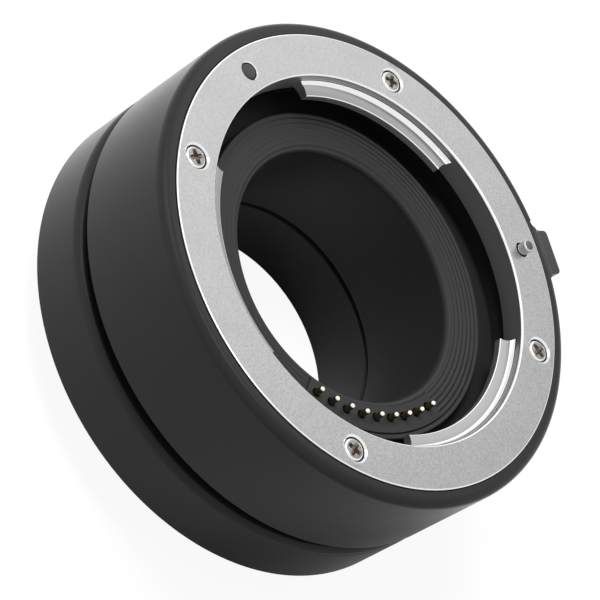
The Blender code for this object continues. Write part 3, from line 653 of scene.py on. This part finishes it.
tab = {
    "spans": ((63.1, 121.4), (176.3, 237.9), (294.0, 360.2)),
    "inner": 21.61,
    "top": 1.68,
    "slope": 0.18,
    "fillet": 0.7,
    "bottom": 2.75,
    "edge": 0.13,
    "chamfer": 0.1,
    "rooted": 0.3,  # how far it reaches into the ring's wall
    "cutterRadius": 2.0,
    "endSlope": 0.333,
    # the plan that its ends are cut to reaches past it by these
    "spareSpan": 4,
    "planInside": 0.6,
    "planOutside": 0.5,
    "planTop": 0.2,
    "planBelow": 0.3,
    "planSteps": 40,
}


def between(near, far, steps):
    # the points of (radius, angle) on the way round from near to far
    return [(near[0], near[1] + (far[1] - near[1]) * step / steps) for step in range(1, steps)]


def makeTab(start, end, face):
    # a turned ledge whose two ends are hollowed by a round cutter
    inner, bottom, edge, chamfer = tab["inner"], -tab["bottom"], tab["edge"], tab["chamfer"]
    wall = mountRing["throat"]
    deep = wall + tab["rooted"]
    foot = (wall - tab["fillet"], -tab["top"] + tab["slope"] + tab["fillet"])
    profile = arc((inner + edge, -tab["top"] - edge), edge, 180, 95, 4)
    profile += arc(foot, tab["fillet"], 264, 360, 10)
    profile += [(deep, foot[1]), (deep, bottom), (inner + chamfer, bottom), (inner, bottom + chamfer)]
    spare = tab["spareSpan"]
    piece = turnSector("tabTool", profile, face, start - spare, end + spare, round(end - start) + 2 * spare)
    width = wall - inner
    cutter = tab["cutterRadius"]
    mouth = (cutter ** 2 - (width / 2) ** 2) ** 0.5
    outline = [(-tab["planInside"], 0.0)]
    for step in range(13):
        x = width * step / 12
        hollow = (cutter ** 2 - (x - width / 2) ** 2) ** 0.5
        outline.append((x, tab["endSlope"] * x - hollow + mouth))
    outline.append((width + tab["planOutside"], outline[-1][1]))
    first = [(inner + x, start - degrees(y / (inner + x))) for x, y in outline]
    last = [(inner + x, end + degrees(y / (inner + x))) for x, y in reversed(outline)]
    corners = first + between(first[-1], last[0], tab["planSteps"])
    corners += last + between(last[-1], first[0], tab["planSteps"])
    plan = extrudePlan("tabPlan", [polar(r, angle) for r, angle in corners],
                       face - tab["planTop"], face + bottom - tab["planBelow"])
    applyModifier(piece, "BOOLEAN", operation="INTERSECT", object=plan, solver="EXACT")
    bpy.data.objects.remove(plan)
    return piece


mountRing = {
    "radius": 29.05,
    "edge": 0.14,
    "edgeDrop": 0.08,
    "plate": 2.0,
    "skirt": 24.2,
    "depth": 3.3,
    "throat": 23.56,
    "throatRound": 0.29,
    "toolAbove": 0.2,
    "toolBelow": 2.3,
    "steps": 360,
}


def ringFinish(top):
    # the face at the top height is satin, ledges below it milled,
    # bevels and fillets polished, and walls as turned
    def choose(polygon):
        if polygon.normal.z > workshop["flat"]:
            return 0 if polygon.center.z > top - workshop["layer"] * mm else 3
        return 1 if sloped(polygon) else 2
    return choose


def makeMountRing(side):
    face = tubes[side]["face"]
    radius, plate = mountRing["radius"], -mountRing["plate"]
    throat, depth = mountRing["throat"], -mountRing["depth"]
    curve = mountRing["throatRound"]
    profile = [
        (radius - mountRing["edge"], 0), (radius, -mountRing["edgeDrop"]), (radius, plate),
        (mountRing["skirt"], plate), (mountRing["skirt"], depth), (throat, depth),
    ]
    profile += arc((throat + curve, -curve), curve, 180, 90, 8)
    piece = turnRing(side + "MountRing", profile, face, mountRing["steps"])
    for start, end in tab["spans"]:
        weldOn(piece, makeTab(start, end, face))
    above, below = mountRing["toolAbove"], -mountRing["toolBelow"]
    floor = -(ringScrew["sink"] + ringScrew["headHeight"] + ringScrew["headRoom"])
    wide = ringScrew["counterbore"]
    rim = wide + ringScrew["rim"]
    shank = ringScrew["shank"] + ringScrew["shankRoom"]
    bore = ((0, above), (rim, above), (rim, 0), (wide, -ringScrew["rimDepth"]), (wide, floor),
            (shank, floor), (shank, below), (0, below))
    for angle in ringScrew["angles"]:
        cutAway(piece, turnStud("boreTool", bore, polar(ringScrew["circle"], angle, face), steps=64))
    hole, rim = lockPin["hole"], lockPin["sinkRadius"]
    bore = ((0, above), (rim, above), (rim, 0), (hole, hole - rim), (hole, below), (0, below))
    cutAway(piece, turnStud("boreTool", bore, pinAxis(face)))
    wide, floor = indexDot["radius"] + indexDot["room"], -indexDot["hole"]
    rim = wide + indexDot["rim"]
    bore = ((0, above), (rim, above), (rim, 0), (wide, -indexDot["rim"]), (wide, floor), (0, floor))
    cutAway(piece, turnStud("boreTool", bore, polar(indexDot["circle"], indexDot["angle"], face)))
    finishPiece(piece, side + "_tube",
                [satinChrome, polishedChrome, turnedChrome, milledChrome], [side + "_mount_ring"],
                choose=ringFinish(face * mm))


cross = {
    "above": 0.3,  # how far the tool stands above the head
    "armTaper": 0.8,  # an arm's end, as a share of its root
    "point": 0.5,  # the cross at its floor, as a share of the cross at the top
}


def crossTool(centre, turn, screw):
    # a driver's cross, narrowing as it goes down
    half = screw["crossWidth"] / 2
    arm = screw["crossArm"]
    end = half * cross["armTaper"]
    corners = []
    for quarter in (0, 90, 180, 270):
        spin = Matrix.Rotation(radians(quarter + turn), 3, "Z")
        for x, y in ((half, -half), (arm, -end), (arm, end)):
            corners.append(centre + spin @ (Vector((x, y, cross["above"])) * mm))
    piece = drawOutline("crossTool", corners)
    down = (0, 0, -(screw["crossDepth"] + cross["above"]) * mm)
    bpy.ops.mesh.extrude_region_move(TRANSFORM_OT_translate={"value": down})
    bpy.ops.transform.resize(value=(cross["point"], cross["point"], 1), center_override=centre)
    closeShell()
    return piece


ringScrew = {
    "circle": 26.5,
    "angles": (0, 90, 180, 270),
    "turns": (55, 90, 125, 160),
    "headRadius": 1.43,
    "headRound": 0.42,
    "headHeight": 0.65,
    "headRoom": 0.3,
    "crown": 0.01,
    "sink": 0.1,
    "shank": 0.7,
    "shankRoom": 0.15,
    "length": 5.5,
    "point": 0.35,
    "counterbore": 1.53,
    "rim": 0.24,
    "rimDepth": 0.2,
    "crossArm": 1.15,
    "crossWidth": 0.8,
    "crossDepth": 0.55,
    "recessFrom": 0.04,  # what is deeper than this inside the head belongs to the recess
    "shoulder": 0.05,  # the head's shoulder is polished where it faces up by more than this
}


def screwFinish(centre):
    # the head is plain, its round shoulder polished, and the driver's recess rough and painted with shade and
    # glints
    def choose(polygon):
        away = (polygon.center - centre).xy.length
        low = polygon.center.z < centre.z - ringScrew["recessFrom"] * mm
        if low and away < ringScrew["crossArm"] * mm:
            return 2
        return 1 if ringScrew["shoulder"] < polygon.normal.z < workshop["flat"] else 0
    return choose


def makeRingScrews(side):
    face = tubes[side]["face"]
    radius, height, curve = ringScrew["headRadius"], ringScrew["headHeight"], ringScrew["headRound"]
    shank, length, point = ringScrew["shank"], ringScrew["length"], ringScrew["point"]
    crown = ringScrew["crown"]
    outline = [(0, 0), (radius / 2, -crown)] + arc((radius - curve, -curve - 2 * crown), curve, 90, 0, 10)
    outline += [(radius, -height), (shank, -height), (shank, -length + point), (point, -length), (0, -length)]
    for number, (angle, turn) in enumerate(zip(ringScrew["angles"], ringScrew["turns"]), 1):
        centre = polar(ringScrew["circle"], angle, face - ringScrew["sink"])
        piece = turnStud("%sRingScrew%d" % (side, number), outline, centre)
        cutAway(piece, crossTool(centre, turn, ringScrew))
        finishPiece(piece, side + "_tube", [nickelSteel, polishedChrome, shadedRecessSteel],
                    ["%s_ring_screw_%d" % (side, number)], choose=screwFinish(centre))


indexDot = {
    "circle": 26.2,
    "angle": 143.2,
    "radius": 1.1,
    "round": 0.4,
    "flat": 0.5,  # how far inside its edge the flat top ends
    "crown": 0.01,
    "sink": 0.02,
    "depth": 0.7,
    "hole": 1.0,
    "room": 0.03,
    "rim": 0.12,
}


def makeIndexDot(side):
    centre = polar(indexDot["circle"], indexDot["angle"], tubes[side]["face"] - indexDot["sink"])
    radius, curve, crown = indexDot["radius"], indexDot["round"], indexDot["crown"]
    outline = [(0, 0), (radius - indexDot["flat"], -crown)]
    outline += arc((radius - curve, -curve - 2 * crown), curve, 80, 0, 8)
    outline += [(radius, -indexDot["depth"]), (0, -indexDot["depth"])]
    piece = turnStud(side + "IndexDot", outline, centre)
    finishPiece(piece, side + "_tube", [greyEnamel], [side + "_index_dot"])


lockPin = {
    "radius": 0.8,
    "bevel": 0.26,
    "hole": 0.97,
    "sinkRadius": 1.05,
    "reach": 1.25,
    "stem": 0.5,
}


def makeLockPin(side):
    # it stands on the lever's slider by a thinner stem, clear of the slider's top and of its hole's floor
    radius, reach, stem, bevel = lockPin["radius"], lockPin["reach"], lockPin["stem"], lockPin["bevel"]
    shoulder = lever["room"] - lever["sliderTop"]
    end = lever["stemFloor"] + lever["room"] - lever["sliderTop"] - lever["sliderThick"]
    outline = [(0, reach)] + arc((radius - bevel, reach - bevel), bevel, 90, 0, 5)
    outline += [(radius, shoulder), (stem, shoulder), (stem, end), (0, end)]
    piece = turnStud(side + "LockPin", outline, pinAxis(tubes[side]["face"]))
    # the flat top takes the darker steel: painted shade
    finishPiece(piece, side + "_release", [groundSteel, shadedPinTopSteel], [side + "_lock_pin"],
                choose=lambda polygon: int(polygon.normal.z > workshop["flat"]))


# Light baffle: ridged disc, liner and rear disc in one moulding, with the contacts under its notch

contact = {
    "count": 9,
    "circle": 18.35,
    "middle": 290.0,
    "pitch": 7.1,
}


def contactAngles():
    first = contact["middle"] - contact["pitch"] * (contact["count"] - 1) / 2
    return [first + contact["pitch"] * index for index in range(contact["count"])]


def turnAtContacts(name, profile, face, margin):
    # a sector as long as the row of contacts, with a margin past either end
    angles = contactAngles()
    return turnSector(name, profile, face, angles[0] - margin, angles[-1] + margin, 64)


def flangeHeight(side):
    # the male bayonet's flange, below the tube's own mount face
    return -tubes[side]["length"] + male["seat"]


baffle = {
    "bore": 16.3,
    "mouth": {"front": 16.02, "rear": 16.3},
    "lip": {"front": 1.1, "rear": 0.3},
    "taperEnd": 1.2,  # the bore narrows to the mouth this far below the lip
    "taperStep": 0.02,
    "liner": 17.3,
    "linerShort": 0.1,  # the liner ends this far above the male bayonet's end
    "linerPast": {"front": 0.4, "rear": 0.0},  # and here reaches past that
    "linerRoom": 0.15,
    "radius": 21.05,
    "edge": 0.25,
    "topOuter": 4.9,
    "topInner": 5.0,
    "thick": 1.3,
    "grooves": 7,
    "firstGroove": 16.62,
    "groovePitch": 0.638,
    "grooveDepth": 0.12,
    "faceSteps": 96,
    "mouthShare": 0.2,  # of those steps, the share that rounds the mouth
    "rearRadius": 19.5,
    "rearThick": 1.0,
    "rearRoom": 0.3,
    "notchRoom": 0.3,
    "notchMargin": 0.03,
    "steps": 240,
}


def makeBaffle(side):
    face = tubes[side]["face"]
    end = flangeHeight(side) - male["reach"] + baffle["linerShort"] - baffle["linerPast"][side]
    rear = stripTop(side) + baffle["rearThick"] + baffle["rearRoom"]
    under = rear - baffle["rearThick"]
    mouth = baffle["mouth"][side]
    lip = baffle["lip"][side]
    crown = mouth + lip
    edge = baffle["radius"] - baffle["edge"]
    topInner, topOuter = -baffle["topInner"], -baffle["topOuter"]
    below = topOuter - baffle["thick"]
    profile = [(baffle["bore"], end), (mouth + baffle["taperStep"], topInner - lip - baffle["taperEnd"])]
    for step in range(baffle["faceSteps"] + 1):
        # a rounded mouth, a face that rises a little, and soft grooves that fade in and out
        share = step / baffle["faceSteps"]
        angle = radians(90 * min(share / baffle["mouthShare"], 1))
        if share < baffle["mouthShare"]:
            radius = crown - lip * cos(angle)
        else:
            radius = crown + (edge - crown) * (share - baffle["mouthShare"]) / (1 - baffle["mouthShare"])
        height = topInner - lip * (1 - sin(angle))
        height += (topOuter - topInner) * max(radius - crown, 0) / (edge - crown)
        turn = (radius - baffle["firstGroove"]) / baffle["groovePitch"]
        if -0.5 < turn < baffle["grooves"] - 0.5:
            height -= baffle["grooveDepth"] * (0.5 + 0.5 * cos(2 * pi * turn))
        profile.append((radius, height))
    profile += arc((edge, topOuter - baffle["edge"]), baffle["edge"], 80, 0, 5)
    profile += [
        (baffle["radius"], below), (baffle["liner"], below), (baffle["liner"], rear),
        (baffle["rearRadius"], rear), (baffle["rearRadius"], under), (baffle["liner"], under),
        (baffle["liner"], end),
    ]
    piece = turnRing(side + "LightBaffle", profile, face, baffle["steps"])
    # the notch goes right through the disc, and less deep into the liner
    floor = -(contactBlock["top"] + contactBlock["plate"] + baffle["notchRoom"])
    bottom = below - baffle["notchRoom"]
    inner = contactBlock["inner"] - contactBlock["gap"]
    outer = contactBlock["outer"] + contactBlock["gap"]
    liner = baffle["liner"] + baffle["linerRoom"]
    notch = [(inner, 0), (outer, 0), (outer, bottom), (liner, bottom), (liner, floor), (inner, floor)]
    cutAway(piece, turnAtContacts("notchTool", notch, face, contactBlock["margin"] + baffle["notchMargin"]))
    finishPiece(piece, side + "_tube", [mouldedBlack], [side + "_light_baffle"])


contactBlock = {
    "top": 4.85,
    "gap": 0.04,
    "plate": 0.9,
    "inner": 16.85,
    "outer": 20.3,
    "edge": 0.1,
    "body": (17.6, 19.7),  # what goes down below the plate, from radius to radius
    "margin": 4.0,
    "depth": 3.4,
    "hole": 0.5,
    "holePast": 1.15,
    "toolAbove": 0.3,
}


def makeContactBlock(side):
    face = tubes[side]["face"]
    inner, outer, edge = contactBlock["inner"], contactBlock["outer"], contactBlock["edge"]
    bodyInner, bodyOuter = contactBlock["body"]
    top = -contactBlock["top"]
    plate = top - contactBlock["plate"]
    bottom = top - contactBlock["depth"]
    profile = [
        (inner + edge, top), (outer - edge, top), (outer, top - edge), (outer, plate), (bodyOuter, plate),
        (bodyOuter, bottom), (bodyInner, bottom), (bodyInner, plate), (inner, plate), (inner, top - edge),
    ]
    piece = turnAtContacts(side + "ContactBlock", profile, face, contactBlock["margin"])
    above = top + contactBlock["toolAbove"]
    deep = -(contactPin["tip"] + contactPin["length"] + contactBlock["holePast"])
    hole = contactBlock["hole"]
    bore = ((0, above), (hole + edge, above), (hole + edge, top), (hole, top - edge), (hole, deep), (0, deep))
    for angle in contactAngles():
        cutAway(piece, turnStud("holeTool", bore, polar(contact["circle"], angle, face), steps=32))
    finishPiece(piece, side + "_tube", [contactNylon], [side + "_contact_block"])


contactPin = {
    "radius": 0.38,
    "tip": 3.5,
    "length": 3.0,
    "shadeBelow": 0.25,  # it is gold where it faces up by more than this, and elsewhere painted in a darker shade
}


def makeContactPins(side):
    top = tubes[side]["face"] - contactPin["tip"] - tubes[side]["pressed"]
    radius, length = contactPin["radius"], contactPin["length"]
    outline = [(0, 0)] + arc((0, -radius), radius, 78, 0, 6) + [(radius, -length), (0, -length)]
    centre = polar(contact["circle"], contactAngles()[0], top)
    first = turnStud(side + "ContactPin1", outline, centre, steps=24)
    pins = [first]
    for number in range(2, contact["count"] + 1):
        pins.append(copyTurned(first, "%sContactPin%d" % (side, number), contact["pitch"] * (number - 1)))
    for number, piece in enumerate(pins, 1):
        # faces that do not point up take the darker brass: painted shade
        finishPiece(piece, "%s_pin_%d" % (side, number), [goldPlate, shadedShaftBrass],
                    ["%s_contact_pin_%d" % (side, number)],
                    choose=lambda polygon: 0 if polygon.normal.z > contactPin["shadeBelow"] else 1)


# Male bayonets and what is seen from behind

male = {
    "reach": 4.3,
    "seat": 0.3,
    "pocketGap": 0.3,
    "cylinder": 21.3,
    "bore": 19.9,
    "flange": 28.65,
    "lug": 23.26,
    "lugRoot": 20.6,
    "lugRise": 0.1,
    "lugThick": 0.95,
    "lugMargin": 1.9,
    "chamfer": 0.18,
    "edge": 0.1,
    "twist": 60.0,
    "slotRoom": 0.3,
    "slotEnds": 2.4,
    "slotRoof": 0.14,
    "toolPast": 0.3,
    "steps": 240,
}


def lugSpans():
    # the lugs lie where the gaps between the tabs are, turned back by the locking twist
    spans = []
    for number, (start, end) in enumerate(tab["spans"]):
        following = tab["spans"][(number + 1) % 3][0] + (360 if number == 2 else 0)
        spans.append((end + male["lugMargin"] - male["twist"], following - male["lugMargin"] - male["twist"]))
    return spans


def makeMaleBayonet(side):
    face = tubes[side]["face"]
    flange = flangeHeight(side)
    top = -tubes[side]["length"] + barrel["tailStep"] + barrel["tailPocket"] - male["pocketGap"]
    end = flange - male["reach"]
    radius, cylinder, bore = male["flange"], male["cylinder"], male["bore"]
    chamfer, edge = male["chamfer"], male["edge"]
    profile = [
        (radius - chamfer, flange), (cylinder, flange), (cylinder, end + chamfer), (cylinder - chamfer, end),
        (bore + edge, end), (bore, end + edge), (bore, top), (radius, top), (radius, flange + chamfer),
    ]
    piece = turnRing(side + "MaleBayonet", profile, face, male["steps"])
    low = end + male["lugRise"]
    high = end + male["lugThick"]
    lug = male["lug"]
    profile = [(male["lugRoot"], low), (lug - chamfer, low), (lug, low + chamfer), (lug, high - edge),
               (lug - edge, high), (male["lugRoot"], high)]
    for start, finish in lugSpans():
        weldOn(piece, turnSector("lugTool", profile, face, start, finish, 48))
    # the front tube's slot lets the lock pin stay up while the tube turns; the rear one is a round hole
    below, roof = flange - male["toolPast"], top - male["slotRoof"]
    half = lockPin["radius"] + male["slotRoom"]
    sweep = tubes[side]["lockSweep"]
    if sweep:
        near, far = lever["circle"] - half, lever["circle"] + half
        slot = [(near, below), (far, below), (far, roof), (near, roof)]
        tool = turnSector("slotTool", slot, face, lever["angle"] - sweep - male["slotEnds"],
                          lever["angle"] + male["slotEnds"], 64)
    else:
        hole = ((0, below), (half + male["toolPast"], below), (half, flange + edge), (half, roof), (0, roof))
        tool = turnStud("slotTool", hole, pinAxis(face))
    cutAway(piece, tool)
    head = tailScrew["head"] + tailScrew["room"]
    shank = tailScrew["shank"] + tailScrew["room"]
    seat = flange + tailScrew["sink"]
    above = top + male["toolPast"]
    hole = ((0, below), (head, below), (head, seat), (shank, seat + head - shank), (shank, above), (0, above))
    for angle in tailScrew["angles"]:
        cutAway(piece, turnStud("boreTool", hole, polar(tailScrew["circle"], angle, face)))
    finishPiece(piece, side + "_tube", [satinChrome, polishedChrome],
                [side + "_male_bayonet"], choose=lambda polygon: int(sloped(polygon)))


tailScrew = {
    "circle": 25.22,
    "angles": (75, 195, 315),
    "turns": (25, 50, 75),
    "head": 1.3,
    "edge": 0.05,
    "rim": 0.15,
    "sink": 0.15,
    "room": 0.15,
    "shank": 0.7,
    "length": 2.6,
    "crossArm": 0.75,
    "crossWidth": 0.32,
    "crossDepth": 0.45,
}


def makeBayonetScrews(side):
    face = tubes[side]["face"] + flangeHeight(side) + tailScrew["sink"]
    radius, shank, length = tailScrew["head"], tailScrew["shank"], tailScrew["length"]
    edge, rim = tailScrew["edge"], tailScrew["rim"]
    outline = ((0, 0), (radius - edge, 0), (radius, edge), (radius, rim), (shank, radius - shank + rim),
               (shank, length), (0, length))
    for number, (angle, turn) in enumerate(zip(tailScrew["angles"], tailScrew["turns"]), 1):
        centre = polar(tailScrew["circle"], angle, face)
        piece = turnStud("%sBayonetScrew%d" % (side, number), outline, centre)
        # its head faces down, so the cross is turned over
        tool = crossTool(centre, turn, tailScrew)
        turnOver = Matrix.Translation(centre) @ Matrix.Rotation(pi, 4, "X") @ Matrix.Translation(-centre)
        tool.data.transform(turnOver)
        cutAway(piece, tool)
        finishPiece(piece, side + "_tube", [nickelSteel],
                    ["%s_bayonet_screw_%d" % (side, number)])


padStrip = {
    "radius": 0.55,
    "edge": 0.05,
    "plane": 3.9,
    "rise": 0.15,
    "thick": 0.45,
    "rooted": 0.2,  # how far a pad reaches into the strip
    "margin": 0.2,
}


def stripTop(side):
    # the baffle's rear disc lies over this height
    return flangeHeight(side) - padStrip["plane"] + padStrip["rise"] + padStrip["thick"]


def makePadStrip(side):
    face = tubes[side]["face"]
    radius, edge = padStrip["radius"], padStrip["edge"]
    plane = flangeHeight(side) - padStrip["plane"]
    under = plane + padStrip["rise"]
    top = stripTop(side)
    inner = contact["circle"] - radius - padStrip["margin"]
    outer = contact["circle"] + radius + padStrip["margin"]
    profile = [(inner, under), (outer, under), (outer, top), (inner, top)]
    piece = turnAtContacts(side + "PadStrip", profile, face, contactBlock["margin"])
    root = under + padStrip["rooted"]
    pad = ((0, plane), (radius - edge, plane), (radius, plane + edge), (radius, root), (0, root))
    for angle in contactAngles():
        weldOn(piece, turnStud("padTool", pad, polar(contact["circle"], angle, face), steps=32))
    height = (face + under - workshop["layer"]) * mm
    finishPiece(piece, side + "_tube", [contactNylon, goldPlate],
                [side + "_pad_strip"], choose=lambda polygon: int(polygon.center.z < height))


for side in tubes:
    makeBarrel(side)
    makeMountRing(side)
    makeRingScrews(side)
    makeIndexDot(side)
    makeLockPin(side)
    makeLever(side)
    makeLeverSpring(side)
    print(side, "barrel, mount ring and lever made")
    makeBaffle(side)
    makeContactBlock(side)
    makeContactPins(side)
    print(side, "baffle and contacts made")
    makeMaleBayonet(side)
    makeBayonetScrews(side)
    makePadStrip(side)
    print(side, "rear bayonet made")
